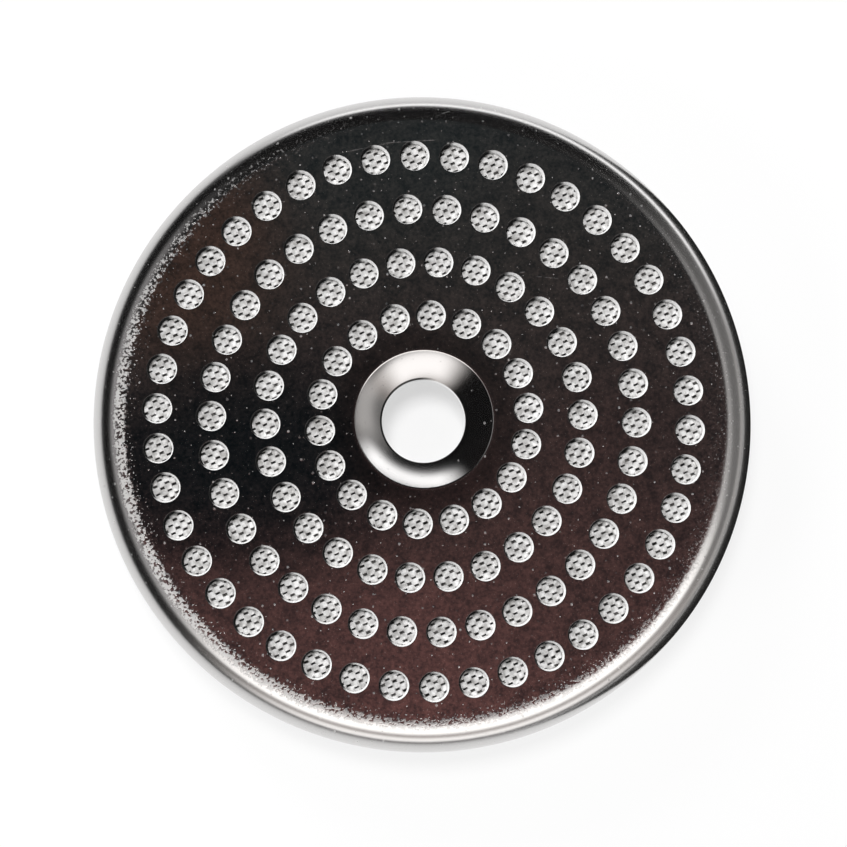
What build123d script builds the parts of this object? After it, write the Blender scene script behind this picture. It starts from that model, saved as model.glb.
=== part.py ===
from build123d import *
import os
from math import ceil, cos, radians, sin, sqrt, tan

# Espresso shower screen: a drawn and punched steel dish with a woven filter mesh behind its face.
# The origin is the centre of the circle that the skirt stands on, and +Z points out of the face. Millimetres.

# Dish
screen_diameter = 57.0
screen_height = 6.0
sheet_thickness = 0.8
edge_radius = 2.6
edge_flats = 5

# Dimple that takes the head of the fixing screw
dimple_mouth_diameter = 12.0
dimple_bore_diameter = 7.2
dimple_slope = 40.0

# Spray holes, in rings that each hold a few holes more than the ring inside it
# Each is a twelve-sided punching around its stated diameter, because so many full circles are heavy to mesh
hole_diameter = 2.5
hole_sides = 12
first_ring_radius = 9.0
ring_spacing = 4.63
first_ring_holes = 18
holes_added_per_ring = 8
ring_turns = [6.4, 1.8, 9.9, 6.4]

# Filter mesh, with one ridge for every three rows of its wire
mesh_thickness = 0.5
ridge_pitch = 1.08
ridge_depth = 0.2
ridge_turn = 22.0
mesh_edge_clearance = 0.3
mesh_dimple_clearance = 0.3

screen_radius = screen_diameter / 2
mouth_radius = dimple_mouth_diameter / 2
bore_radius = dimple_bore_diameter / 2
slope_rise = tan(radians(dimple_slope))

# The rounded edge turns down in a few flats that keep to its radius, because a full round is heavy to mesh
edge_angles = [radians(90 * step / edge_flats) for step in range(edge_flats + 1)]
edge_line = [
    (screen_radius - edge_radius * (1 - sin(angle)), screen_height - edge_radius * (1 - cos(angle)))
    for angle in edge_angles
]

# The back of the sheet runs parallel to its face, with the bend inside the rounded edge as one flat
back_height = screen_height - sheet_thickness
back_radius = screen_radius - sheet_thickness
back_bend_flat = (edge_radius - sheet_thickness) * (2 - sqrt(2))
dimple_back_radius = mouth_radius + sheet_thickness * tan(radians(dimple_slope / 2))

# Perforated dish: one sheet section, revolved, then bored and punched
with BuildPart() as perforated_dish:
    blank_radius = bore_radius - sheet_thickness
    blank_height = screen_height - (mouth_radius - blank_radius) * slope_rise
    blank_back_height = back_height - (dimple_back_radius - blank_radius) * slope_rise
    with BuildSketch(Plane.XZ):
        with BuildLine():
            Polyline(
                (mouth_radius, screen_height),
                *edge_line,
                (screen_radius, 0),
                (back_radius, 0),
                (back_radius, back_height - back_bend_flat),
                (back_radius - back_bend_flat, back_height),
                (dimple_back_radius, back_height),
                (blank_radius, blank_back_height),
                (blank_radius, blank_height),
                close=True,
            )
        make_face()
    revolve(axis=Axis.Z)
    with Locations((0, 0, screen_height)):
        Hole(bore_radius)
    for ring, turn in enumerate(ring_turns):
        ring_radius = first_ring_radius + ring * ring_spacing
        ring_holes = first_ring_holes + ring * holes_added_per_ring
        with BuildSketch(Plane.XY.offset(screen_height)):
            with PolarLocations(ring_radius, ring_holes, start_angle=turn):
                RegularPolygon(hole_diameter / 2, hole_sides, major_radius=False)
        extrude(amount=-2 * sheet_thickness, mode=Mode.SUBTRACT)
perforated_dish.part.label = "perforated_dish"

# Filter mesh: a ridged disc that lies against the back of the face, clear of the dimple and the rounded edge
with BuildPart() as filter_mesh:
    mesh_outer_radius = screen_radius - edge_radius - mesh_edge_clearance
    mesh_inner_radius = dimple_back_radius + mesh_dimple_clearance
    ridge_count = ceil(2 * mesh_outer_radius / ridge_pitch) + 1
    ridges_width = ridge_count * ridge_pitch
    ridge_line = [
        (step * ridge_pitch / 2 - ridges_width / 2, back_height - ridge_depth * (1 - step % 2))
        for step in range(2 * ridge_count + 1)
    ]
    with BuildSketch(Plane.XZ.rotated((0, 0, ridge_turn + 90))):
        with BuildLine():
            Polyline(
                *ridge_line,
                (ridges_width / 2, back_height - mesh_thickness),
                (-ridges_width / 2, back_height - mesh_thickness),
                close=True,
            )
        make_face()
    extrude(amount=screen_radius, both=True)
    with BuildSketch(Plane.XY.offset(back_height)):
        Circle(mesh_outer_radius)
        Circle(mesh_inner_radius, mode=Mode.SUBTRACT)
    extrude(amount=-mesh_thickness, mode=Mode.INTERSECT)
filter_mesh.part.label = "filter_mesh"

os.makedirs("parts", exist_ok=True)
export_step(perforated_dish.part, "parts/perforated_dish.step")
export_step(filter_mesh.part, "parts/filter_mesh.step")
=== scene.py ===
import math

import bpy
import numpy as np
from mathutils import Matrix, Vector
from mathutils.geometry import delaunay_2d_cdt


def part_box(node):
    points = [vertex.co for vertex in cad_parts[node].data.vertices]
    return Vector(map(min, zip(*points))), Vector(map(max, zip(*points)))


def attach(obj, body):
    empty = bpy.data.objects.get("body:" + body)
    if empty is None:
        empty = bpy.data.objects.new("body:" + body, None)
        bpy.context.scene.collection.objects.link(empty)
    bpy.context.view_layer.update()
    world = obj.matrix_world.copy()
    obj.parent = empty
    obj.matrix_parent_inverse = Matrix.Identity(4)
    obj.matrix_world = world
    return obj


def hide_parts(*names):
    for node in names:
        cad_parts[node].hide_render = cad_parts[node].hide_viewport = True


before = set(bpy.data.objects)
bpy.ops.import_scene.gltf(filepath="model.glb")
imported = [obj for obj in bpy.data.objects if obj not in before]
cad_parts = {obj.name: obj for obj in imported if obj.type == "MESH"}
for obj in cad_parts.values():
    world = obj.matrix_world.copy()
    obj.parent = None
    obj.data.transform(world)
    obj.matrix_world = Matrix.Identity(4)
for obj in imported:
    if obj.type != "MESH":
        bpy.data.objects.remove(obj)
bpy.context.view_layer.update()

MM = 0.001
DISH_LOW, DISH_HIGH = (np.array(corner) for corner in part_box("perforated_dish"))
MESH_LOW, MESH_HIGH = (np.array(corner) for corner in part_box("filter_mesh"))

# Sizes of the sheet, in metres
SCREEN_RADIUS = (DISH_HIGH[0] - DISH_LOW[0]) / 2
FACE_HEIGHT = DISH_HIGH[2]
BACK_HEIGHT = MESH_HIGH[2]
SHEET = FACE_HEIGHT - BACK_HEIGHT
EDGE_RADIUS = 2.6 * MM
CUT_EDGE_RADIUS = 0.12 * MM

# Dimple: its front is a bowl, steeper at the mouth than at the bore (in degrees), and its back is a cone
MOUTH_RADIUS = 6.0 * MM
MOUTH_ROUND = 0.2 * MM
MOUTH_SLOPE = 43.0
BORE_SLOPE = 34.0
BORE_RADIUS = 3.6 * MM
DIMPLE_SLOPE = math.radians(40.0)
BACK_FILLET = 0.3 * MM

# Spray holes, in rings that each hold a few holes more than the ring inside it
HOLE_FACE_RADIUS = 1.29 * MM
HOLE_BACK_RADIUS = 1.13 * MM
HOLE_ROLL = 0.04 * MM
HOLE_BURR = 0.05 * MM
FIRST_RING_RADIUS = 9.0 * MM
RING_SPACING = 4.63 * MM
FIRST_RING_HOLES = 18
HOLES_ADDED_PER_RING = 8
RING_TURNS = [6.4, 1.8, 9.9, 6.4]

# Woven wire. The weft sways a little to the side, with a shift in radians from each row to the next
WEFT_PITCH = 0.36 * MM
WEFT_WIDTH = 0.69 * MM
WEFT_HEIGHT = 0.2 * MM
WEFT_SWAY = 0.03 * MM
SWAY_LENGTH = 1.7 * MM
SWAY_SHIFT = 2.4
WARP_PITCH = 0.535 * MM
WARP_WIDTH = 0.16 * MM
WARP_HEIGHT = 0.08 * MM
WEAVE_TURN = math.radians(22.0)
WEAVE_CLEARANCE = 0.4 * MM

# How finely the shapes are divided
TURN_STEPS = 256
MOUTH_STEPS = 6
BOWL_STEPS = 12
BORE_BACK_STEPS = 8
FILLET_STEPS = 4
EDGE_STEPS = 18
INNER_EDGE_STEPS = 12
CUT_EDGE_STEPS = 4
HOLE_STEPS = 40
ROLL_STEPS = 5
BURR_STEPS = 3
WEFT_STEPS_PER_WAVE = 6
WEFT_SIDES = 5
WARP_SIDES = 6
JOIN_DISTANCE = 1e-6

# Zones of the steel, by distance from the centre in mm: where each starts, is full, starts to fade and ends
BEND_ZONE = (25.3, 25.8, 26.4, 26.8)
NEAR_BEND_ZONE = (24.2, 25.5, 26.4, 27.0)
FLAT_ZONE = (6.0, 6.4, 25.6, 26.2)
DIMPLE_STAIN_ZONE = (5.9, 6.2, 6.6, 9.4)

# The same for the painted shade on the punched edge, by how upright it is, from 0 to 1
HOLE_EDGE_SHADE_ZONE = (0.0, 0.04, 0.3, 0.6)

# Directions across the face, as X and Y: where the specks and their painted glints gather, and where painted
# shade lies on the bore edge and on the hole walls
SPECK_AND_GLINT_WAY = (-0.57, -0.82)
BORE_SHADE_WAY = (-0.9, 0.43)
WALL_SHADE_WAY = (0.956, -0.292)

# Wear of the steel: depths below the face in mm where dust and scratches end and are full, and their strength
WEAR_END_DEPTH = 1.6
WEAR_FULL_DEPTH = 1.2
DUST_CELLS_PER_MM = 0.95
DUST_SIZE_POWER = 3.0
DUST_STRENGTH = 0.38
SCRATCH_STRENGTH = 0.16
FINE_DOT_STRENGTH = 0.8
DIMPLE_STAIN_STRENGTH = 0.45

# How much denser the specks and dots are where they gather towards the lower left, as painted glints
SPECKS_GATHERED = 0.18
DOTS_GATHERED = 0.05

# Surface of the steel: how matt the marks and walls are, and what they and the formed areas add to the
# roughness. The bend adds more than the dimple
MARK_MATTNESS = 0.8
WALL_MATTNESS = 0.95
MIRROR_SPECULAR = 0.5
MARK_ROUGHNESS = 0.35
WALL_ROUGHNESS = 0.4
FORMED_ROUGHNESS = 0.08
BEND_TIMES_DIMPLE = 2.0

# Scratches between the second and third rings at the upper right, and rub marks outside the outer ring at
# the top. Each has both ends and half the width, in mm, and fades out over a share of its length
SCRATCH_FADE = 0.2
SCRATCHES = [
    ((9.6, 12.4), (11.7, 12.2), 0.06),
    ((8.2, 12.7), (8.7, 12.8), 0.09),
    ((-7.6, 23.0), (-2.4, 24.1), 0.06),
    ((-3.8, 23.95), (1.6, 24.3), 0.06),
    ((0.9, 26.3), (2.3, 26.9), 0.06),
]

# Colours of the steel. Those of the film go with its thickness
FILM_COLOURS = [(0.3, (0.36, 0.4, 0.42)), (0.7, (0.94, 0.88, 0.85))]
# Painted shade on the hole edges and the bore, and the stain round the dimple
SHADE_AND_STAIN_COLOUR = (0.05, 0.05, 0.05)
RAW_WALL_COLOUR = (0.9, 0.895, 0.89)
# Painted shade on the hole walls that look to the right
PAINTED_SHADE_WALL_COLOUR = (0.03, 0.03, 0.03)
# Pale dust, scratches and specks, the specks partly painted glints
MARK_AND_GLINT_COLOUR = (0.72, 0.71, 0.7)

# Wire: how metallic it is, how uneven the edge of its pores, and its colours on the crests and its painted
# shade in the pores
WIRE_METALLIC = 0.15
PORE_UNEVENNESS = 0.8
WIRE_COLOURS = [(0.3, (0.42, 0.41, 0.4)), (0.65, (0.93, 0.925, 0.92))]
PORE_SHADE_COLOURS = [(0.4, (0.02, 0.019, 0.018)), (0.65, (0.2, 0.19, 0.18))]

# Camera, from the fit of the hole rings in the photo
CAMERA_DISTANCE = 0.2309
CAMERA_DIRECTION = Vector((-0.0332, -0.0861, 0.9957))
CAMERA_LENS = 114.4
SENSOR_WIDTH = 36.0
CLIP_START = 0.01
AIM_OFFSET = Vector((-0.066 * MM, -0.37 * MM, 0.0))

# Floor: the share of glow that the camera sees in the bore, what is added in the open, and the loss of glow
# that the metal mirrors from further away
FLOOR_SIZE = 6.0
FLOOR_COLOUR = (0.9, 0.9, 0.9, 1.0)
BORE_GLOW = 0.6
OPEN_GLOW_ADDED = 0.25
FAR_GLOW_LOSS = 0.25

# Dark card beside the object: where it starts and ends, in degrees from +X, and its reach and height.
# Its inner edge swings out at both ends, and a higher power does so more suddenly
FLAG_START = -78
FLAG_END = 75
FLAG_STEPS = 36
FLAG_NEAR = 0.0287
FLAG_FAR = 0.09
FLAG_HEIGHT = 0.0003
FLAG_SWING_POWER = 6
FLAG_COLOUR = (0.01, 0.01, 0.01, 1.0)
FLAG_ROUGHNESS = 0.9

# Room overhead: its colours from front to back, and the zenith angles in degrees where it ends and is full
OVERHEAD_COLOURS = [
    (0.0, (0.15, 0.07, 0.066)),
    (0.2, (0.075, 0.042, 0.04)),
    (0.45, (0.046, 0.032, 0.031)),
    (0.7, (0.036, 0.034, 0.033)),
    (0.95, (0.029, 0.033, 0.034)),
]
OVERHEAD_UNEVENNESS = 0.5
OVERHEAD_END = 24.0
OVERHEAD_FULL = 13.0
ROOM_COLOUR = (0.007, 0.007, 0.007)

# Patches overhead: centre and reach in X and Y of the direction, and the colour
ROOM_PATCHES = [
    (-0.06, 0.15, 0.05, 0.045, (0.06, 0.037, 0.03)),
    (-0.035, 0.072, 0.065, 0.04, (0.008, 0.0105, 0.012)),
]
PATCH_UNEVENNESS = 1.5

# Light areas of the room: azimuth from +X, half width and its easing, then the zenith angles where the area
# begins and ends, each with its easing, all in degrees, and the colour
ROOM_LIGHT = [
    (-77, 60, 12, 17, 3, 49, 4, (1.9, 1.86, 1.82)),
    (-78, 50, 15, 51, 4, 80, 3, (0.4, 0.36, 0.335)),
    (-84, 38, 18, 63, 4, 80, 3, (1.2, 1.2, 1.2)),
    (5, 36, 16, 22, 4, 92, 10, (0.18, 0.176, 0.173)),
    (5, 36, 16, 22, 4, 36, 8, (0.34, 0.335, 0.33)),
    (-8, 28, 14, 74, 4, 87, 4, (0.38, 0.37, 0.36)),
    (180, 42, 15, 26, 4, 48, 7, (0.42, 0.41, 0.41)),
    (72, 42, 14, 80, 3, 92, 1, (1.9, 1.9, 1.9)),
]

# Share of the room's light that matt surfaces don't get, and a floor for a divisor that is 0 straight up
ROOM_LOSS_ON_MATT = 0.96
LEAST_LEVEL = 0.0001

# Lamps: azimuth from +X and angle from straight up, in degrees, and the brightness
LAMPS = {
    "key_upper_left": (115, 20, 26.0),
    "low_back_left": (120, 70, 17.0),
    "low_front_left": (215, 70, 15.0),
}
LAMP_DISTANCE = 0.6
LAMP_SIDE = 0.2


def arc(centre, radius, start, end, steps, side=1):
    """Section points and normals of an arc. Angles are from +Z towards +R, and side -1 makes it hollow."""
    angles = np.linspace(math.radians(start), math.radians(end), steps + 1)
    out = np.stack([np.sin(angles), np.cos(angles)], axis=1)
    return np.hstack([np.array(centre) + radius * out, side * out])


def dimple_section():
    """Sheet section from the face, down the dimple, round the bore and back up to the back of the face."""
    back_slope = math.degrees(DIMPLE_SLOPE)
    back_rise = math.tan(DIMPLE_SLOPE)
    half_rise = math.tan(DIMPLE_SLOPE / 2)
    lean = 1 / math.cos(DIMPLE_SLOPE)
    back_corner = MOUTH_RADIUS + SHEET * half_rise
    edge_reach = BORE_RADIUS + CUT_EDGE_RADIUS
    low_height = BACK_HEIGHT - (back_corner - edge_reach) * back_rise + CUT_EDGE_RADIUS * lean
    mouth_centre = (MOUTH_RADIUS, FACE_HEIGHT - MOUTH_ROUND)
    mouth = arc(mouth_centre, MOUTH_ROUND, 0, -MOUTH_SLOPE, MOUTH_STEPS)
    mouth_sine = math.sin(math.radians(MOUTH_SLOPE))
    bore_sine = math.sin(math.radians(BORE_SLOPE))
    bowl_end = edge_reach - CUT_EDGE_RADIUS * bore_sine
    bowl_radius = (mouth[-1, 0] - bowl_end) / (mouth_sine - bore_sine)
    bowl_centre = mouth[-1, :2] + bowl_radius * mouth[-1, 2:]
    bowl = arc(bowl_centre, bowl_radius, 180 - MOUTH_SLOPE, 180 - BORE_SLOPE, BOWL_STEPS, side=-1)
    edge_centre = bowl[-1, :2] - CUT_EDGE_RADIUS * bowl[-1, 2:]
    fillet_centre = (back_corner + BACK_FILLET * half_rise, BACK_HEIGHT - BACK_FILLET)
    return np.vstack([
        mouth,
        bowl[1:],
        arc(edge_centre, CUT_EDGE_RADIUS, -BORE_SLOPE, -90, CUT_EDGE_STEPS)[1:],
        arc((edge_reach, low_height), CUT_EDGE_RADIUS, -90, -180 - back_slope, BORE_BACK_STEPS),
        arc(fillet_centre, BACK_FILLET, -back_slope, 0, FILLET_STEPS, side=-1),
    ])


def skirt_section():
    """Sheet section from the face, round the edge, down the skirt and back up inside it."""
    centre = (SCREEN_RADIUS - EDGE_RADIUS, FACE_HEIGHT - EDGE_RADIUS)
    outer_foot = (SCREEN_RADIUS - CUT_EDGE_RADIUS, CUT_EDGE_RADIUS)
    inner_foot = (SCREEN_RADIUS - SHEET + CUT_EDGE_RADIUS, CUT_EDGE_RADIUS)
    return np.vstack([
        arc(centre, EDGE_RADIUS, 0, 90, EDGE_STEPS),
        arc(outer_foot, CUT_EDGE_RADIUS, 90, 180, CUT_EDGE_STEPS),
        arc(inner_foot, CUT_EDGE_RADIUS, 180, 270, CUT_EDGE_STEPS),
        arc(centre, EDGE_RADIUS - SHEET, 90, 0, INNER_EDGE_STEPS, side=-1),
    ])


def hole_section():
    """Section of a spray hole: rolled in from the face, then down a wall that closes in towards the back."""
    lean = 90 - math.degrees(math.atan2(HOLE_FACE_RADIUS - HOLE_BACK_RADIUS, SHEET))
    roll_reach = HOLE_FACE_RADIUS + HOLE_ROLL * math.tan(math.radians(lean / 2))
    burr_reach = HOLE_BACK_RADIUS + HOLE_BURR * math.tan(math.radians(90 - lean / 2))
    rolled = arc((roll_reach, FACE_HEIGHT - HOLE_ROLL), HOLE_ROLL, 0, -lean, ROLL_STEPS)
    burr = arc((burr_reach, BACK_HEIGHT + HOLE_BURR), HOLE_BURR, -lean, -180, BURR_STEPS)
    return np.vstack([rolled, burr])


def hole_centres():
    """Centres of all the spray holes."""
    centres = []
    for ring, turn in enumerate(RING_TURNS):
        count = FIRST_RING_HOLES + ring * HOLES_ADDED_PER_RING
        radius = FIRST_RING_RADIUS + ring * RING_SPACING
        for step in range(count):
            angle = math.radians(turn) + 2 * math.pi * step / count
            centres.append((radius * math.cos(angle), radius * math.sin(angle)))
    return np.array(centres)


class MeshParts:
    """Collects points, normals and faces of one closed mesh, and how upright each point's punched wall is."""

    def __init__(self):
        self.points = []
        self.normals = []
        self.sheared = []
        self.faces = []
        self.count = 0

    def add(self, points, normals, sheared):
        """Takes in points and returns the number of the first one."""
        first = self.count
        self.points.append(points)
        self.normals.append(normals)
        self.sheared.append(sheared)
        self.count += len(points)
        return first

    def lathe(self, section, steps, centre=(0.0, 0.0), punched=False):
        """Turns a section about a vertical line. Returns the point numbers of its first and last rings."""
        turn = np.arange(steps) * 2 * math.pi / steps
        across, up = np.cos(turn), np.sin(turn)
        rows = len(section)
        points = np.empty((rows, steps, 3))
        normals = np.empty((rows, steps, 3))
        points[:, :, 0] = centre[0] + section[:, 0:1] * across
        points[:, :, 1] = centre[1] + section[:, 0:1] * up
        points[:, :, 2] = section[:, 1:2]
        normals[:, :, 0] = section[:, 2:3] * across
        normals[:, :, 1] = section[:, 2:3] * up
        normals[:, :, 2] = section[:, 3:4]
        upright = 1.0 - np.abs(section[:, 3]) if punched else np.zeros(rows)
        here = self.skin(points, normals, np.repeat(upright, steps))
        return here[0], here[-1]

    def skin(self, points, normals, sheared):
        """Joins rings of points into a tube whose faces look along the normals. Returns the point numbers."""
        first = self.add(points.reshape(-1, 3), normals.reshape(-1, 3), sheared)
        here = first + np.arange(points.shape[0] * points.shape[1]).reshape(points.shape[:2])
        after = np.roll(here, -1, axis=1)
        quads = np.stack([here[:-1], here[1:], after[1:], after[:-1]], axis=-1).reshape(-1, 4)
        facing = np.cross(points[1:] - points[:-1], np.roll(points, -1, axis=1)[:-1] - points[:-1])
        if np.sum(facing * normals[:-1]) < 0:
            quads = quads[:, ::-1]
        self.faces.extend(quads.tolist())
        return here

    def build(self, name):
        """Makes the object, with the collected normals."""
        points = np.vstack(self.points)
        normals = np.vstack(self.normals)
        mesh = bpy.data.meshes.new(name)
        mesh.from_pydata(points.tolist(), [], self.faces)
        mesh.validate()
        mesh.polygons.foreach_set("use_smooth", np.ones(len(mesh.polygons), bool))
        mesh.normals_split_custom_set_from_vertices(normals.tolist())
        sheared = mesh.attributes.new("sheared", "FLOAT", "POINT")
        sheared.data.foreach_set("value", np.concatenate(self.sheared))
        mesh.update()
        piece = bpy.data.objects.new(name, mesh)
        bpy.context.scene.collection.objects.link(piece)
        return piece


def flat_with_holes(parts, rings, upward):
    """Fills the flat between rings of points with triangles.

    A triangle with all its corners on one ring spans a hole, so it is left out.
    """
    numbers = np.concatenate(rings)
    places = np.vstack(parts.points)[numbers][:, :2]
    ring_of = np.concatenate([np.full(len(ring), number) for number, ring in enumerate(rings)])
    edges = []
    first = 0
    for ring in rings:
        size = len(ring)
        edges += [(first + step, first + (step + 1) % size) for step in range(size)]
        first += size
    points, _, triangles, origins, _, _ = delaunay_2d_cdt(
        [Vector(place) / MM for place in places], edges, [], 0, JOIN_DISTANCE
    )
    points = np.array([tuple(point) for point in points]) * MM
    for triangle in triangles:
        sources = [origins[corner][0] for corner in triangle]
        if len(set(ring_of[sources])) == 1:
            continue
        corners = points[list(triangle)]
        a, b, c = (int(numbers[source]) for source in sources)
        turned = np.cross(corners[1] - corners[0], corners[2] - corners[0]) > 0
        parts.faces.append((a, b, c) if turned == upward else (a, c, b))


def make_dish():
    """The sheet as one closed mesh with rolled hole edges, and with true normals for a clean mirror."""
    parts = MeshParts()
    dimple_front, dimple_back = parts.lathe(dimple_section(), TURN_STEPS)
    skirt_front, skirt_back = parts.lathe(skirt_section(), TURN_STEPS)
    fronts = []
    backs = []
    for centre in hole_centres():
        front, back = parts.lathe(hole_section(), HOLE_STEPS, centre, punched=True)
        fronts.append(front)
        backs.append(back)
    flat_with_holes(parts, [dimple_front, skirt_front, *fronts], True)
    flat_with_holes(parts, [dimple_back, skirt_back, *backs], False)
    return parts.build("dish_shell")


def wire_run(parts, line, across, width, height, sides):
    """One wire with a flattened round section, along a line of points. It keeps its sideways direction."""
    along = np.gradient(line, axis=0)
    along /= np.linalg.norm(along, axis=1)[:, None]
    up = np.cross(along, across)[:, None, :]
    angles = np.arange(sides) * 2 * math.pi / sides + math.pi / 2
    side = np.cos(angles)[None, :, None]
    rise = np.sin(angles)[None, :, None]
    offsets = (width / 2) * side * across + (height / 2) * rise * up
    normals = (side / width) * across + (rise / height) * up
    normals /= np.linalg.norm(normals, axis=2)[:, :, None]
    here = parts.skin(line[:, None, :] + offsets, normals, np.zeros(len(line) * sides))
    parts.faces.append(here[0][::-1].tolist())
    parts.faces.append(here[-1].tolist())


def stretches(offset, inner, outer):
    """The stretches of a straight wire at this offset from the centre that lie between the two circles."""
    reach = math.sqrt(outer**2 - offset**2)
    if abs(offset) >= inner:
        return [(-reach, reach)]
    gap = math.sqrt(inner**2 - offset**2)
    return [(-reach, -gap), (gap, reach)]


def make_weave():
    """Woven wire in three pieces: the straight warp, and the even and odd rows of weft that wave over it."""
    outer = (MESH_HIGH[0] - MESH_LOW[0]) / 2 - WEFT_WIDTH / 2 - WEFT_SWAY
    inner = MOUTH_RADIUS + SHEET * math.tan(DIMPLE_SLOPE / 2) + WEAVE_CLEARANCE
    middle = (MESH_LOW[2] + MESH_HIGH[2]) / 2
    wave = (MESH_HIGH[2] - MESH_LOW[2] - WEFT_HEIGHT) / 2
    weft_way = np.array([math.cos(WEAVE_TURN), math.sin(WEAVE_TURN), 0.0])
    warp_way = np.array([-math.sin(WEAVE_TURN), math.cos(WEAVE_TURN), 0.0])
    level = np.array([0.0, 0.0, 1.0])

    warp = MeshParts()
    for row in range(-int(outer / WARP_PITCH), int(outer / WARP_PITCH) + 1):
        offset = row * WARP_PITCH
        for low, high in stretches(offset, inner, outer):
            line = np.array([low, high])[:, None] * warp_way + offset * weft_way + middle * level
            wire_run(warp, line, weft_way, WARP_WIDTH, WARP_HEIGHT, WARP_SIDES)
    pieces = [warp.build("mesh_warp_wires")]

    step = 2 * WARP_PITCH / WEFT_STEPS_PER_WAVE
    for parity, name in ((0, "mesh_weft_wires_even"), (1, "mesh_weft_wires_odd")):
        weft = MeshParts()
        for row in range(-int(outer / WEFT_PITCH), int(outer / WEFT_PITCH) + 1):
            if row % 2 != parity:
                continue
            offset = row * WEFT_PITCH
            for low, high in stretches(offset, inner, outer):
                places = np.arange(math.ceil(low / step), math.floor(high / step) + 1) * step
                if len(places) < 2:
                    continue
                height = middle + wave * np.cos(math.pi * (places / WARP_PITCH + row))
                aside = offset + WEFT_SWAY * np.sin(places / SWAY_LENGTH + SWAY_SHIFT * row)
                line = places[:, None] * weft_way + aside[:, None] * warp_way + height[:, None] * level
                wire_run(weft, line, -warp_way, WEFT_WIDTH, WEFT_HEIGHT, WEFT_SIDES)
        pieces.append(weft.build(name))
    return pieces


class Nodes:
    """Short calls for building a node tree."""

    def __init__(self, tree):
        self.tree = tree
        tree.nodes.clear()

    def add(self, kind, **settings):
        node = self.tree.nodes.new("ShaderNode" + kind)
        for name, value in settings.items():
            setattr(node, name, value)
        return node

    def link(self, source, target):
        self.tree.links.new(source, target)

    def math(self, operation, first, second=None):
        node = self.add("Math", operation=operation)
        for socket, value in zip(node.inputs, (first, second)):
            if value is None:
                continue
            if isinstance(value, (int, float)):
                socket.default_value = value
            else:
                self.link(value, socket)
        return node.outputs[0]

    def line(self, value, times, plus):
        return self.math("ADD", self.math("MULTIPLY", value, times), plus)

    def product(self, *values):
        result = values[0]
        for value in values[1:]:
            result = self.math("MULTIPLY", result, value)
        return result

    def most(self, *values):
        result = values[0]
        for value in values[1:]:
            result = self.math("MAXIMUM", result, value)
        return result

    def square_sum(self, first, second):
        return self.math("ADD", self.math("POWER", first, 2.0), self.math("POWER", second, 2.0))

    def along(self, across, up, way):
        """How far a place lies along a direction that is given as X and Y."""
        return self.math("ADD", self.math("MULTIPLY", across, way[0]), self.math("MULTIPLY", up, way[1]))

    def parts(self, vector):
        """The X, Y and Z of a vector."""
        node = self.add("SeparateXYZ")
        self.link(vector, node.inputs[0])
        return node.outputs

    def smooth(self, value, none, full):
        """Eases from 0 where the value is none to 1 where it is full."""
        node = self.add("MapRange", interpolation_type="SMOOTHSTEP")
        self.link(value, node.inputs["Value"])
        node.inputs["From Min"].default_value = none
        node.inputs["From Max"].default_value = full
        return node.outputs["Result"]

    def zone(self, value, start, full, fade, end):
        """Eases from 0 to 1 between start and full, and back to 0 between fade and end."""
        rising = self.smooth(value, none=start, full=full)
        falling = self.smooth(value, none=end, full=fade)
        return self.product(rising, falling)

    def noise(self, coordinates, scale, detail=2.0, roughness=0.5):
        node = self.add("TexNoise")
        self.link(coordinates, node.inputs["Vector"])
        node.inputs["Scale"].default_value = scale
        node.inputs["Detail"].default_value = detail
        node.inputs["Roughness"].default_value = roughness
        return node.outputs["Fac"]

    def ramp(self, value, stops):
        """Goes through colours, each given with its place from 0 to 1."""
        node = self.add("ValToRGB")
        self.link(value, node.inputs["Fac"])
        band = node.color_ramp.elements
        while len(band) < len(stops):
            band.new(0.5)
        for element, (place, colour) in zip(band, stops):
            element.position = place
            element.color = (*colour, 1.0)
        return node.outputs["Color"]

    def mix(self, share, first, second):
        """Goes from the first colour to the second. Each is a socket, or plain red, green and blue."""
        node = self.add("MixRGB")
        self.link(share, node.inputs["Fac"])
        for name, colour in (("Color1", first), ("Color2", second)):
            if isinstance(colour, tuple):
                node.inputs[name].default_value = (*colour, 1.0)
            else:
                self.link(colour, node.inputs[name])
        return node.outputs["Color"]

    def bump(self, height, strength, distance, normal=None):
        node = self.add("Bump")
        node.inputs["Strength"].default_value = strength
        node.inputs["Distance"].default_value = distance
        self.link(height, node.inputs["Height"])
        if normal is not None:
            self.link(normal, node.inputs["Normal"])
        return node.outputs["Normal"]


def new_material(name):
    material = bpy.data.materials.new(name)
    material.use_nodes = True
    nodes = Nodes(material.node_tree)
    shader = nodes.add("BsdfPrincipled")
    output = nodes.add("OutputMaterial")
    nodes.link(shader.outputs["BSDF"], output.inputs["Surface"])
    return material, nodes, shader


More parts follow.
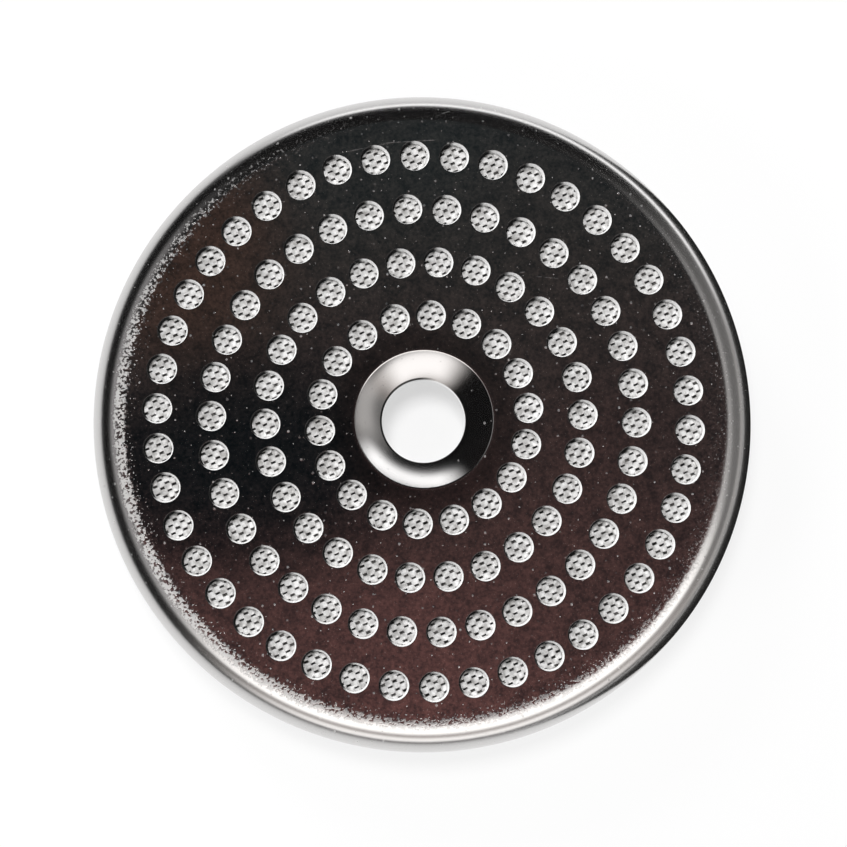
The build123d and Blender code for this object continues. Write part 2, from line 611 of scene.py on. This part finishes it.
def speck_and_glint_mask(nodes, place, across, up, reach):
    """Specks on the bend and dots beside it, real grain that is painted denser and paler towards the lower
    left as glints where light catches it.
    """
    gathered = nodes.math("DIVIDE", nodes.along(across, up, SPECK_AND_GLINT_WAY), reach)
    glint_gathering = nodes.smooth(gathered, none=-0.95, full=0.65)
    bend = nodes.zone(reach, *BEND_ZONE)
    near_bend = nodes.zone(reach, *NEAR_BEND_ZONE)
    crackle = nodes.noise(place, scale=3.8, detail=2.0, roughness=0.6)
    crackle = nodes.math("ADD", crackle, nodes.product(bend, glint_gathering, SPECKS_GATHERED))
    crackled = nodes.product(nodes.smooth(crackle, none=0.62, full=0.72), bend)
    dots = nodes.noise(place, scale=5.5, detail=1.0)
    dots = nodes.math("ADD", dots, nodes.product(near_bend, glint_gathering, DOTS_GATHERED))
    dotted = nodes.product(nodes.smooth(dots, none=0.71, full=0.78), near_bend)
    specks = nodes.product(nodes.most(crackled, dotted), nodes.line(glint_gathering, times=0.92, plus=0.08))

    # Fine dots on the right, where there are few specks
    sideways = nodes.math("DIVIDE", across, reach)
    to_right = nodes.smooth(sideways, none=0.5, full=0.9)
    fine_dots = nodes.smooth(nodes.noise(place, scale=6.5, detail=1.0), none=0.66, full=0.76)
    specks = nodes.most(specks, nodes.product(fine_dots, near_bend, to_right, FINE_DOT_STRENGTH))
    # Specks paler towards the left: painted glints
    glint_to_left = nodes.smooth(sideways, none=0.1, full=-0.8)
    return nodes.product(specks, nodes.line(glint_to_left, times=0.3, plus=0.35))


def dust_mask(nodes, place):
    """Dust in single ragged grains, of which each shows more or less."""
    cells = nodes.add("TexVoronoi", voronoi_dimensions="2D")
    nodes.link(place, cells.inputs["Vector"])
    cells.inputs["Scale"].default_value = DUST_CELLS_PER_MM
    kind = nodes.add("SeparateColor")
    nodes.link(cells.outputs["Color"], kind.inputs[0])
    size = nodes.line(nodes.math("POWER", kind.outputs[0], DUST_SIZE_POWER), times=0.1, plus=0.04)
    ragged = nodes.math("SUBTRACT", nodes.noise(place, scale=9.0, detail=1.0), 0.5)
    shape = nodes.math("ADD", nodes.math("DIVIDE", cells.outputs["Distance"], size), ragged)
    return nodes.product(
        nodes.smooth(shape, none=1.0, full=0.5),
        nodes.smooth(kind.outputs[1], none=0.15, full=1.1),
    )


def scratch_mask(nodes, across, up, start, end, half_width):
    """A thin straight mark on the face, between two places given in millimetres."""
    length = math.hypot(end[0] - start[0], end[1] - start[1])
    way = ((end[0] - start[0]) / length, (end[1] - start[1]) / length)
    from_x = nodes.math("SUBTRACT", across, start[0])
    from_y = nodes.math("SUBTRACT", up, start[1])
    along = nodes.along(from_x, from_y, way)
    aside = nodes.along(from_x, from_y, (way[1], -way[0]))
    return nodes.product(
        nodes.smooth(nodes.math("ABSOLUTE", aside), none=half_width, full=0.0),
        nodes.zone(along, 0.0, SCRATCH_FADE * length, (1 - SCRATCH_FADE) * length, length),
    )


def film_thickness(nodes, place, reach):
    """A thin film that lies on the flat in large and small patches, and is 0.5 everywhere else."""
    large = nodes.noise(place, scale=0.8, detail=3.0, roughness=0.7)
    small = nodes.noise(place, scale=3.6, detail=2.0, roughness=0.6)
    patches = nodes.math("SUBTRACT", nodes.math("ADD", large, small), 1.0)
    return nodes.line(nodes.product(patches, nodes.zone(reach, *FLAT_ZONE)), times=0.75, plus=0.5)


def shade_and_stain_mask(nodes, across, up, reach, sheared):
    """Painted shade on the hole edges and the left edge of the bore, and the dark surround of the dimple."""
    # Painted shade on the rolled hole edges
    hole_edge_shade = nodes.zone(sheared, *HOLE_EDGE_SHADE_ZONE)
    by_dimple = nodes.product(nodes.zone(reach, *DIMPLE_STAIN_ZONE), DIMPLE_STAIN_STRENGTH)
    # Painted shade along the left edge of the bore
    on_left = nodes.smooth(nodes.along(across, up, BORE_SHADE_WAY), none=0.2, full=2.0)
    bore_edge_shade = nodes.product(nodes.smooth(reach, none=3.8, full=3.74), on_left)
    return nodes.most(hole_edge_shade, by_dimple, bore_edge_shade)


def steel_material():
    """Polished sheet: a mirror with specks where it was bent, dust, a few scratches and raw punched walls."""
    material, nodes, shader = new_material("polished_steel")
    to_mm = nodes.add("VectorMath", operation="SCALE")
    nodes.link(nodes.add("TexCoord").outputs["Object"], to_mm.inputs[0])
    to_mm.inputs["Scale"].default_value = 1 / MM
    place = to_mm.outputs[0]
    across, up, height = nodes.parts(place)
    reach = nodes.math("SQRT", nodes.square_sum(across, up))
    sheared = nodes.add("Attribute", attribute_name="sheared").outputs["Fac"]

    # Pale marks: dust, scratches, and specks on the bend that are partly painted glints
    face = FACE_HEIGHT / MM
    on_face = nodes.smooth(height, none=face - WEAR_END_DEPTH, full=face - WEAR_FULL_DEPTH)
    worn = nodes.smooth(nodes.noise(place, scale=2.2, detail=2.0), none=0.35, full=0.6)
    scratches = nodes.most(*[scratch_mask(nodes, across, up, *ends) for ends in SCRATCHES])
    pale = nodes.most(
        speck_and_glint_mask(nodes, place, across, up, reach),
        nodes.product(dust_mask(nodes, place), on_face, DUST_STRENGTH),
        nodes.product(scratches, on_face, worn, SCRATCH_STRENGTH),
    )

    # The punched walls are raw and matt, with painted shade where they look to the right
    walls = nodes.smooth(sheared, none=0.3, full=0.6)
    facing_x, facing_y, _ = nodes.parts(nodes.add("NewGeometry").outputs["Normal"])
    painted_wall_shade = nodes.smooth(nodes.along(facing_x, facing_y, WALL_SHADE_WAY), none=0.25, full=0.6)
    wall_colour = nodes.mix(painted_wall_shade, RAW_WALL_COLOUR, PAINTED_SHADE_WALL_COLOUR)

    film = film_thickness(nodes, place, reach)
    colour = nodes.ramp(film, FILM_COLOURS)
    # Painted shade on the hole edges and the left of the bore, and the stain round the dimple
    colour = nodes.mix(shade_and_stain_mask(nodes, across, up, reach, sheared), colour, SHADE_AND_STAIN_COLOUR)
    colour = nodes.mix(walls, colour, wall_colour)
    colour = nodes.mix(pale, colour, MARK_AND_GLINT_COLOUR)
    nodes.link(colour, shader.inputs["Base Color"])
    matt = nodes.most(nodes.product(pale, MARK_MATTNESS), nodes.product(walls, WALL_MATTNESS))
    nodes.link(nodes.math("SUBTRACT", 1.0, matt), shader.inputs["Metallic"])
    glossy = nodes.math("SUBTRACT", 1.0, walls)
    nodes.link(nodes.product(glossy, MIRROR_SPECULAR), shader.inputs["Specular IOR Level"])

    # The dimple is a little rougher than the flat, and the bend rougher again
    in_dimple = nodes.smooth(reach, none=6.4, full=5.9)
    on_bend = nodes.smooth(reach, none=25.6, full=26.4)
    formed = nodes.most(in_dimple, nodes.product(on_bend, BEND_TIMES_DIMPLE))
    rough = nodes.line(film, times=0.05, plus=0.04)
    for mask, added in ((formed, FORMED_ROUGHNESS), (walls, WALL_ROUGHNESS), (pale, MARK_ROUGHNESS)):
        rough = nodes.math("ADD", rough, nodes.product(mask, added))
    nodes.link(rough, shader.inputs["Roughness"])

    waves = nodes.bump(nodes.noise(place, scale=0.25, detail=2.0), strength=0.2, distance=0.02 * MM)
    pits = nodes.bump(pale, strength=0.5, distance=0.03 * MM, normal=waves)
    nodes.link(pits, shader.inputs["Normal"])
    return material


def wire_material(name, dark_below, bright_above):
    """Bright rough wire, with painted shade down in the pores. The heights are shares of half the mesh's
    thickness.
    """
    material, nodes, shader = new_material(name)
    place = nodes.add("TexCoord").outputs["Object"]
    height = nodes.parts(place)[2]
    facing = nodes.parts(nodes.add("NewGeometry").outputs["Normal"])[2]
    middle = (MESH_LOW[2] + MESH_HIGH[2]) / 2
    half_thickness = (MESH_HIGH[2] - MESH_LOW[2]) / 2
    outward = nodes.product(nodes.math("SUBTRACT", height, middle), nodes.math("SIGN", facing))
    uneven = nodes.math("SUBTRACT", nodes.noise(place, scale=2200.0, detail=1.0), 0.5)
    crest = nodes.math("DIVIDE", outward, half_thickness)
    crest = nodes.math("ADD", crest, nodes.product(uneven, PORE_UNEVENNESS))
    dull = nodes.noise(place, scale=1800.0, detail=3.0)
    bright = nodes.ramp(dull, WIRE_COLOURS)
    # Painted shade in the pores, where the neighbouring wires block the light
    pore_shade = nodes.ramp(nodes.noise(place, scale=1500.0, detail=1.0), PORE_SHADE_COLOURS)
    colour = nodes.mix(nodes.smooth(crest, none=dark_below, full=bright_above), pore_shade, bright)
    nodes.link(colour, shader.inputs["Base Color"])
    nodes.link(nodes.line(dull, times=0.2, plus=0.4), shader.inputs["Roughness"])
    shader.inputs["Metallic"].default_value = WIRE_METALLIC
    drawn = nodes.bump(nodes.noise(place, scale=9000.0, detail=2.0), strength=0.2, distance=0.01 * MM)
    nodes.link(drawn, shader.inputs["Normal"])
    return material


def make_floor():
    """A pale floor that looks white to the camera and in the metal, and still takes the shadow."""
    bpy.ops.mesh.primitive_plane_add(size=FLOOR_SIZE, location=(0, 0, 0))
    floor = bpy.context.object
    floor.name = "floor"
    material = bpy.data.materials.new("pale_floor")
    material.use_nodes = True
    nodes = Nodes(material.node_tree)
    matt = nodes.add("BsdfDiffuse")
    matt.inputs["Color"].default_value = FLOOR_COLOUR
    glow = nodes.add("Emission")
    path = nodes.add("LightPath")
    mirrored = nodes.most(path.outputs["Is Glossy Ray"], path.outputs["Is Transmission Ray"])
    reach_of_place = nodes.add("VectorMath", operation="LENGTH")
    nodes.link(nodes.add("TexCoord").outputs["Object"], reach_of_place.inputs[0])
    reach = reach_of_place.outputs["Value"]
    far_floor = nodes.product(nodes.smooth(reach, none=0.03, full=0.07), mirrored, FAR_GLOW_LOSS)
    nodes.link(nodes.math("SUBTRACT", 1.0, far_floor), glow.inputs["Strength"])
    open_floor = nodes.smooth(reach, none=BORE_RADIUS, full=SCREEN_RADIUS)
    glow_share = nodes.line(open_floor, times=OPEN_GLOW_ADDED, plus=BORE_GLOW)
    seen = nodes.product(path.outputs["Is Camera Ray"], glow_share)
    mix = nodes.add("MixShader")
    nodes.link(nodes.most(seen, mirrored), mix.inputs[0])
    nodes.link(matt.outputs[0], mix.inputs[1])
    nodes.link(glow.outputs[0], mix.inputs[2])
    output = nodes.add("OutputMaterial")
    nodes.link(mix.outputs[0], output.inputs["Surface"])
    floor.data.materials.append(material)


def make_flag():
    """A dark card on the floor to the right, seen only in the metal, as the photo's rim is dark there."""
    count = FLAG_STEPS + 1
    near = []
    far = []
    for step in range(count):
        turn = math.radians(FLAG_START + (FLAG_END - FLAG_START) * step / FLAG_STEPS)
        swing = abs(2 * step / FLAG_STEPS - 1) ** FLAG_SWING_POWER
        reach = FLAG_NEAR + (FLAG_FAR - FLAG_NEAR) * swing
        near.append((reach * math.cos(turn), reach * math.sin(turn), FLAG_HEIGHT))
        far.append((FLAG_FAR * math.cos(turn), FLAG_FAR * math.sin(turn), FLAG_HEIGHT))
    faces = [(step, count + step, count + step + 1, step + 1) for step in range(count - 1)]
    mesh = bpy.data.meshes.new("dark_flag")
    mesh.from_pydata(near + far, [], faces)
    flag = bpy.data.objects.new("dark_flag", mesh)
    bpy.context.scene.collection.objects.link(flag)
    material, _, shader = new_material("dark_card")
    shader.inputs["Base Color"].default_value = FLAG_COLOUR
    shader.inputs["Roughness"].default_value = FLAG_ROUGHNESS
    mesh.materials.append(material)
    flag.visible_camera = False
    flag.visible_diffuse = False
    flag.visible_shadow = False


def overhead_colour(nodes, place, across, up):
    """The room overhead goes from red-brown at the front to blue-black at the back, with a few patches."""
    uneven = nodes.math("SUBTRACT", nodes.noise(place, scale=16.0, detail=3.0, roughness=0.6), 0.5)
    depth = nodes.line(up, times=4.0, plus=0.12)
    depth = nodes.math("ADD", depth, nodes.product(uneven, OVERHEAD_UNEVENNESS))
    colour = nodes.ramp(depth, OVERHEAD_COLOURS)
    for centre_x, centre_y, reach_x, reach_y, patch_colour in ROOM_PATCHES:
        patch_x = nodes.math("DIVIDE", nodes.math("SUBTRACT", across, centre_x), reach_x)
        patch_y = nodes.math("DIVIDE", nodes.math("SUBTRACT", up, centre_y), reach_y)
        from_patch = nodes.square_sum(patch_x, patch_y)
        from_patch = nodes.math("ADD", from_patch, nodes.product(uneven, PATCH_UNEVENNESS))
        colour = nodes.mix(nodes.smooth(from_patch, none=1.5, full=0.2), colour, patch_colour)
    return colour


def make_world():
    """A dark room overhead in deep brown and blue-black, with bright and grey areas lower down around it."""
    world = bpy.data.worlds.new("dark_room")
    world.use_nodes = True
    world.cycles.sampling_method = "NONE"
    bpy.context.scene.world = world
    nodes = Nodes(world.node_tree)
    place = nodes.add("TexCoord").outputs["Generated"]
    across, up, high = nodes.parts(place)
    zenith = nodes.math("DEGREES", nodes.math("ARCCOSINE", high))
    level = nodes.most(nodes.math("SQRT", nodes.square_sum(across, up)), LEAST_LEVEL)
    overhead = nodes.smooth(zenith, none=OVERHEAD_END, full=OVERHEAD_FULL)
    light = nodes.mix(overhead, ROOM_COLOUR, overhead_colour(nodes, place, across, up))

    for azimuth, half_width, turn_ease, top, top_ease, bottom, bottom_ease, colour in ROOM_LIGHT:
        turn = math.radians(azimuth)
        toward = nodes.along(across, up, (math.cos(turn), math.sin(turn)))
        aside = nodes.math("DEGREES", nodes.math("ARCCOSINE", nodes.math("DIVIDE", toward, level)))
        share = nodes.product(
            nodes.smooth(aside, none=half_width + turn_ease, full=half_width - turn_ease),
            nodes.smooth(zenith, none=top - top_ease, full=top + top_ease),
            nodes.smooth(zenith, none=bottom + bottom_ease, full=bottom - bottom_ease),
        )
        added = nodes.add("VectorMath", operation="MULTIPLY_ADD")
        nodes.link(share, added.inputs[0])
        added.inputs[1].default_value = colour
        nodes.link(light, added.inputs[2])
        light = added.outputs[0]

    # The mirror sees all of this, but on matt surfaces the lamps do most of the work
    background = nodes.add("Background")
    nodes.link(light, background.inputs["Color"])
    on_matt = nodes.math("MINIMUM", nodes.add("LightPath").outputs["Diffuse Depth"], 1.0)
    lost = nodes.math("MULTIPLY", on_matt, ROOM_LOSS_ON_MATT)
    nodes.link(nodes.math("SUBTRACT", 1.0, lost), background.inputs["Strength"])
    output = nodes.add("OutputWorld")
    nodes.link(background.outputs[0], output.inputs["Surface"])


def add_lights():
    """One lamp above and two low ones on the left. The metal mirrors none: it has the room's light areas."""
    for name, (azimuth, zenith, brightness) in LAMPS.items():
        turn = math.radians(azimuth)
        lean = math.radians(zenith)
        way = Vector((math.sin(lean) * math.cos(turn), math.sin(lean) * math.sin(turn), math.cos(lean)))
        lamp = bpy.data.lights.new(name, "AREA")
        lamp.shape = "SQUARE"
        lamp.size = LAMP_SIDE
        lamp.energy = brightness * math.pi * LAMP_SIDE * LAMP_SIDE
        light = bpy.data.objects.new(name, lamp)
        light.location = way * LAMP_DISTANCE
        light.rotation_euler = way.to_track_quat("Z", "Y").to_euler()
        light.visible_glossy = False
        bpy.context.scene.collection.objects.link(light)


def add_camera():
    data = bpy.data.cameras.new("camera")
    data.lens = CAMERA_LENS
    data.sensor_width = SENSOR_WIDTH
    data.clip_start = CLIP_START
    camera = bpy.data.objects.new("camera", data)
    face = Vector((0.0, 0.0, FACE_HEIGHT))
    camera.location = face + CAMERA_DIRECTION.normalized() * CAMERA_DISTANCE
    back = (camera.location - face - AIM_OFFSET).normalized()
    right = Vector((0.0, 1.0, 0.0)).cross(back).normalized()
    up = back.cross(right)
    camera.rotation_euler = Matrix((right, up, back)).transposed().to_euler()
    bpy.context.scene.collection.objects.link(camera)
    bpy.context.scene.camera = camera


dish = make_dish()
dish.data.materials.append(steel_material())
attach(dish, "root")
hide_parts("perforated_dish")

# The warp lies under the weft, so most of it takes the painted pore shade
warp_wire = wire_material("woven_wire_warp", dark_below=0.25, bright_above=0.6)
weft_wire = wire_material("woven_wire_weft", dark_below=-0.02, bright_above=0.36)
for piece in make_weave():
    piece.data.materials.append(warp_wire if "warp" in piece.name else weft_wire)
    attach(piece, "root")
    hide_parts("filter_mesh")

make_floor()
make_flag()
make_world()
add_lights()
add_camera()
bpy.context.scene.view_settings.view_transform = "Standard"
